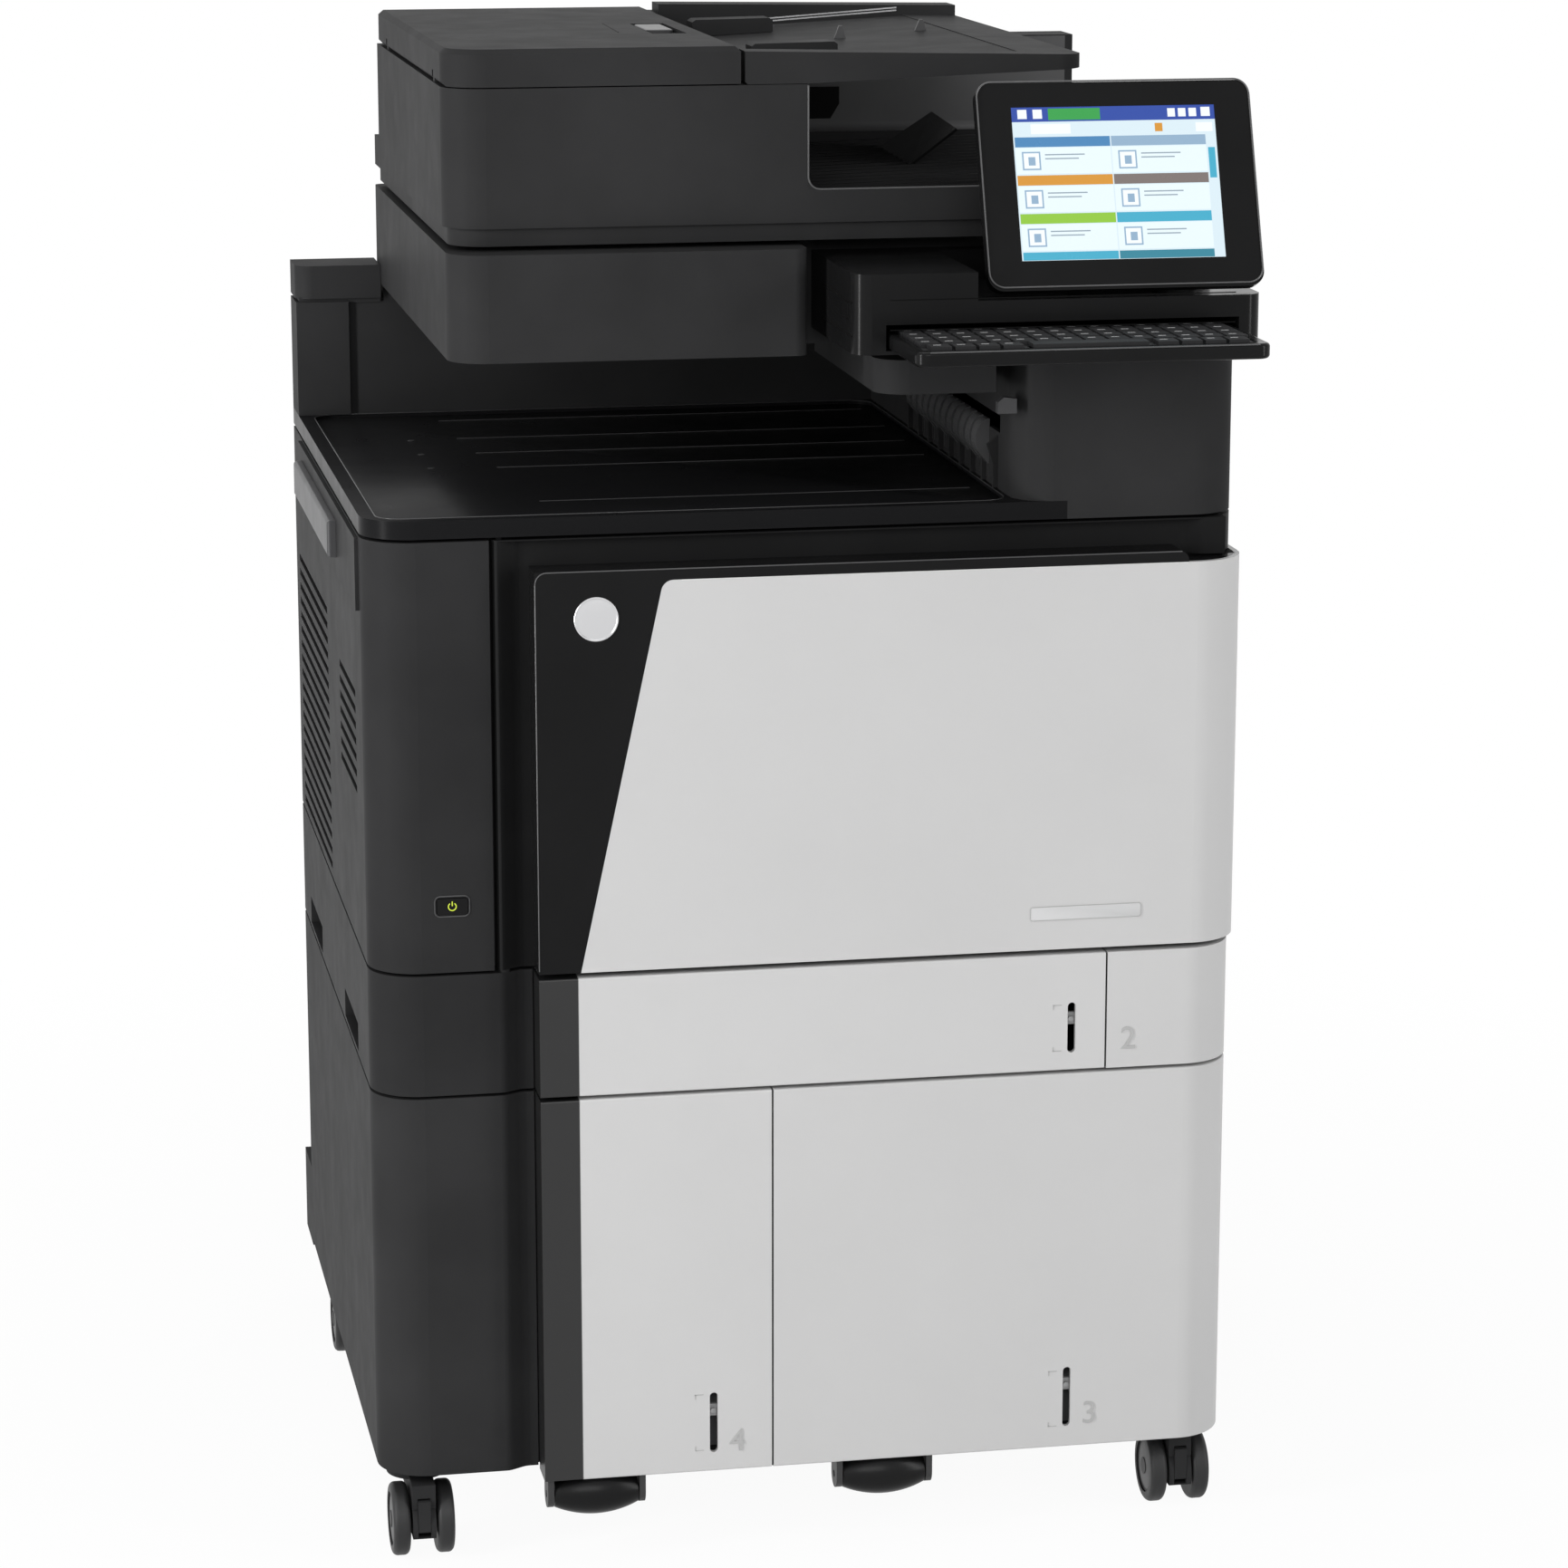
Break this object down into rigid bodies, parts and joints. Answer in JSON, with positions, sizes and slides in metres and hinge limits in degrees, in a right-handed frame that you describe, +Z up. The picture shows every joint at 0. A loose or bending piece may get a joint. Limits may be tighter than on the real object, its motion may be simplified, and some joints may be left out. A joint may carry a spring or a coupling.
{
  "type": "multifunction photocopier",
  "caption": "Floor-standing colour copier with document feeder, tilting touch display, keyboard, output bin, front door and paper trays on casters.",
  "frame": {"origin": "centre of the footprint on the floor, with the keyboard pulled out", "axes": "+X to the right seen from the front, +Y to the back, +Z up"},
  "size_m": [0.714, 0.837, 1.215],
  "materials": {
    "black": "satin moulded, fine grain",
    "light": "satin moulded",
    "gloss_black": "gloss",
    "dark_metal": "matt powder coat",
    "inner_grey": "satin moulded",
    "steel": "brushed",
    "yellow": "satin moulded",
    "magenta": "satin moulded",
    "cyan": "satin moulded",
    "toner_black": "satin moulded",
    "glass": "polished",
    "power_green": "satin with a lit symbol",
    "handle_grey": "satin moulded",
    "white": "matt sheet",
    "rubber": "matt",
    "tyre": "matt",
    "screen": "lit display",
    "keys": "matt key caps",
    "gauge_orange": "matt"
  },
  "bodies": {
    "cabinet": {"stand_shell": "black", "tray_unit_shell": "black", "corner_cover": "light", "engine_shell": "black", "rear_cover": "dark_metal", "inner_cover": "inner_grey", "toner_yellow": "yellow", "toner_magenta": "magenta", "toner_cyan": "cyan", "toner_black": "toner_black", "collection_box": "inner_grey", "imaging_unit": "dark_metal", "fuser_unit": "steel", "output_shelf": "black", "exit_tower": "black", "rear_wall": "black", "scanner_body": "black", "scan_glass": "glass", "panel_base": "gloss_black"},
    "front_door": {"door_frame": "black", "door_trim": "gloss_black", "door_panel": "light"},
    "side_door": {"right_door": "black"},
    "bypass": {"bypass_tray": "black"},
    "power_button": {"power_button": "power_green"},
    "carry_handle": {"carry_handle": "handle_grey"},
    "scan_carriage": {"scan_carriage": "dark_metal"},
    "document_feeder": {"adf_base": "black", "adf_backing": "white"},
    "pickup_roller": {"adf_pickup_roller": "rubber"},
    "feeder_cover": {"adf_cover": "black"},
    "feeder_tray": {"adf_input_tray": "black"},
    "guide_front": {"adf_guide_front": "black"},
    "guide_rear": {"adf_guide_rear": "black"},
    "display": {"display_housing": "gloss_black", "display_screen": "screen"},
    "keyboard": {"keyboard_tray": "gloss_black", "keyboard_keys": "keys"},
    "space_bar": {"space_bar": "keys"},
    "tray_2": {"tray_2_front": "light", "tray_2_bin": "inner_grey"},
    "tray_2_gauge": {"tray_2_gauge": "gauge_orange"},
    "tray_3": {"tray_3_front": "light", "tray_3_bin": "inner_grey"},
    "tray_3_gauge": {"tray_3_gauge": "gauge_orange"},
    "tray_3_roller": {"tray_3_roller": "rubber"},
    "tray_4": {"tray_4_front": "light", "tray_4_bin": "inner_grey"},
    "tray_4_gauge": {"tray_4_gauge": "gauge_orange"},
    "tray_4_roller": {"tray_4_roller": "rubber"},
    "caster_front_left": {"caster_yoke_front_left": "black"},
    "wheels_front_left": {"caster_wheels_front_left": "tyre"},
    "brake_front_left": {"caster_brake_front_left": "handle_grey"},
    "caster_front_right": {"caster_yoke_front_right": "black"},
    "wheels_front_right": {"caster_wheels_front_right": "tyre"},
    "brake_front_right": {"caster_brake_front_right": "handle_grey"},
    "caster_rear_left": {"caster_yoke_rear_left": "black"},
    "wheels_rear_left": {"caster_wheels_rear_left": "tyre"},
    "caster_rear_right": {"caster_yoke_rear_right": "black"},
    "wheels_rear_right": {"caster_wheels_rear_right": "tyre"}
  },
  "joints": [
    {"name": "front_door_hinge", "type": "hinge", "parent": "cabinet", "child": "front_door", "pos_m": [-0.2415, -0.2525, 0.66775], "axis": [0, 0, -1], "range_deg": [0, 95]},
    {"name": "side_door_hinge", "type": "hinge", "parent": "cabinet", "child": "side_door", "pos_m": [0.347, 0.2955, 0.66775], "axis": [0, 0, 1], "range_deg": [0, 85]},
    {"name": "bypass_hinge", "type": "hinge", "parent": "side_door", "child": "bypass", "pos_m": [0.3532, 0.084, 0.5483], "axis": [0, 1, 0], "range_deg": [0, 75]},
    {"name": "power_press", "type": "slide", "parent": "cabinet", "child": "power_button", "axis": [0, 1, 0], "range_m": [0, 0.002], "stiffness_N_per_m": 400},
    {"name": "carry_handle_pull", "type": "slide", "parent": "cabinet", "child": "carry_handle", "axis": [-1, 0, 0], "range_m": [0, 0.045]},
    {"name": "carriage_travel", "type": "slide", "parent": "cabinet", "child": "scan_carriage", "axis": [1, 0, 0], "range_m": [0, 0.42]},
    {"name": "feeder_lift", "type": "hinge", "parent": "cabinet", "child": "document_feeder", "pos_m": [-0.197, 0.3475, 1.066], "axis": [-1, 0, 0], "range_deg": [0, 70]},
    {"name": "pickup_spin", "type": "hinge", "parent": "document_feeder", "child": "pickup_roller", "pos_m": [-0.065, 0.0515, 1.186], "axis": [0, 1, 0], "continuous": true},
    {"name": "cover_lift", "type": "hinge", "parent": "document_feeder", "child": "feeder_cover", "pos_m": [-0.267, 0.0415, 1.187], "axis": [0, -1, 0], "range_deg": [0, 75]},
    {"name": "feeder_tray_lift", "type": "hinge", "parent": "document_feeder", "child": "feeder_tray", "pos_m": [-0.031, 0.0415, 1.202], "axis": [0, -1, 0], "range_deg": [0, 25]},
    {"name": "guide_rear_slide", "type": "slide", "parent": "feeder_tray", "child": "guide_rear", "axis": [0, -1, 0], "range_m": [0, 0.08]},
    {"name": "guide_front_slide", "type": "slide", "parent": "feeder_tray", "child": "guide_front", "axis": [0, -1, 0], "range_m": [-0.08, 0]},
    {"name": "display_tilt", "type": "hinge", "parent": "cabinet", "child": "display", "pos_m": [0.2434, -0.27798, 1.0415], "axis": [-1, 0, 0], "range_deg": [0, 20]},
    {"name": "keyboard_slide", "type": "slide", "parent": "cabinet", "child": "keyboard", "axis": [0, 1, 0], "range_m": [0, 0.105]},
    {"name": "space_press", "type": "slide", "parent": "keyboard", "child": "space_bar", "axis": [0, 0, -1], "range_m": [0, 0.0015], "stiffness_N_per_m": 300},
    {"name": "tray_2_slide", "type": "slide", "parent": "cabinet", "child": "tray_2", "axis": [0, -1, 0], "range_m": [0, 0.4]},
    {"name": "tray_2_level", "type": "slide", "parent": "tray_2", "child": "tray_2_gauge", "axis": [0, 0, 1], "range_m": [-0.023, 0.01]},
    {"name": "tray_3_slide", "type": "slide", "parent": "cabinet", "child": "tray_3", "axis": [0, -1, 0], "range_m": [0, 0.45]},
    {"name": "tray_3_level", "type": "slide", "parent": "tray_3", "child": "tray_3_gauge", "axis": [0, 0, 1], "range_m": [-0.0307, 0.0117]},
    {"name": "tray_3_roller_spin", "type": "hinge", "parent": "tray_3", "child": "tray_3_roller", "pos_m": [0.063, -0.2665, 0.056], "axis": [1, 0, 0], "continuous": true},
    {"name": "tray_4_slide", "type": "slide", "parent": "cabinet", "child": "tray_4", "axis": [0, -1, 0], "range_m": [0, 0.45]},
    {"name": "tray_4_level", "type": "slide", "parent": "tray_4", "child": "tray_4_gauge", "axis": [0, 0, 1], "range_m": [-0.0302, 0.0121]},
    {"name": "tray_4_roller_spin", "type": "hinge", "parent": "tray_4", "child": "tray_4_roller", "pos_m": [-0.175, -0.2665, 0.056], "axis": [1, 0, 0], "continuous": true},
    {"name": "swivel_front_left", "type": "hinge", "parent": "cabinet", "child": "caster_front_left", "pos_m": [-0.3135, -0.2065, 0.075], "axis": [0, 0, 1], "continuous": true},
    {"name": "roll_front_left", "type": "hinge", "parent": "caster_front_left", "child": "wheels_front_left", "pos_m": [-0.3135, -0.2315, 0.03], "axis": [1, 0, 0], "continuous": true},
    {"name": "brake_front_left", "type": "hinge", "parent": "caster_front_left", "child": "brake_front_left", "pos_m": [-0.3135, -0.252, 0.05], "axis": [1, 0, 0], "range_deg": [-15, 0]},
    {"name": "swivel_front_right", "type": "hinge", "parent": "cabinet", "child": "caster_front_right", "pos_m": [0.3195, -0.2065, 0.075], "axis": [0, 0, 1], "continuous": true},
    {"name": "roll_front_right", "type": "hinge", "parent": "caster_front_right", "child": "wheels_front_right", "pos_m": [0.3195, -0.2315, 0.03], "axis": [1, 0, 0], "continuous": true},
    {"name": "brake_front_right", "type": "hinge", "parent": "caster_front_right", "child": "brake_front_right", "pos_m": [0.3195, -0.252, 0.05], "axis": [1, 0, 0], "range_deg": [-15, 0]},
    {"name": "swivel_rear_left", "type": "hinge", "parent": "cabinet", "child": "caster_rear_left", "pos_m": [-0.3135, 0.2865, 0.075], "axis": [0, 0, 1], "continuous": true},
    {"name": "roll_rear_left", "type": "hinge", "parent": "caster_rear_left", "child": "wheels_rear_left", "pos_m": [-0.3135, 0.2615, 0.03], "axis": [1, 0, 0], "continuous": true},
    {"name": "swivel_rear_right", "type": "hinge", "parent": "cabinet", "child": "caster_rear_right", "pos_m": [0.3195, 0.2865, 0.075], "axis": [0, 0, 1], "continuous": true},
    {"name": "roll_rear_right", "type": "hinge", "parent": "caster_rear_right", "child": "wheels_rear_right", "pos_m": [0.3195, 0.2615, 0.03], "axis": [1, 0, 0], "continuous": true}
  ],
  "couplings": [
    {"joint": "guide_front_slide", "follows": "guide_rear_slide", "ratio": -1}
  ]
}
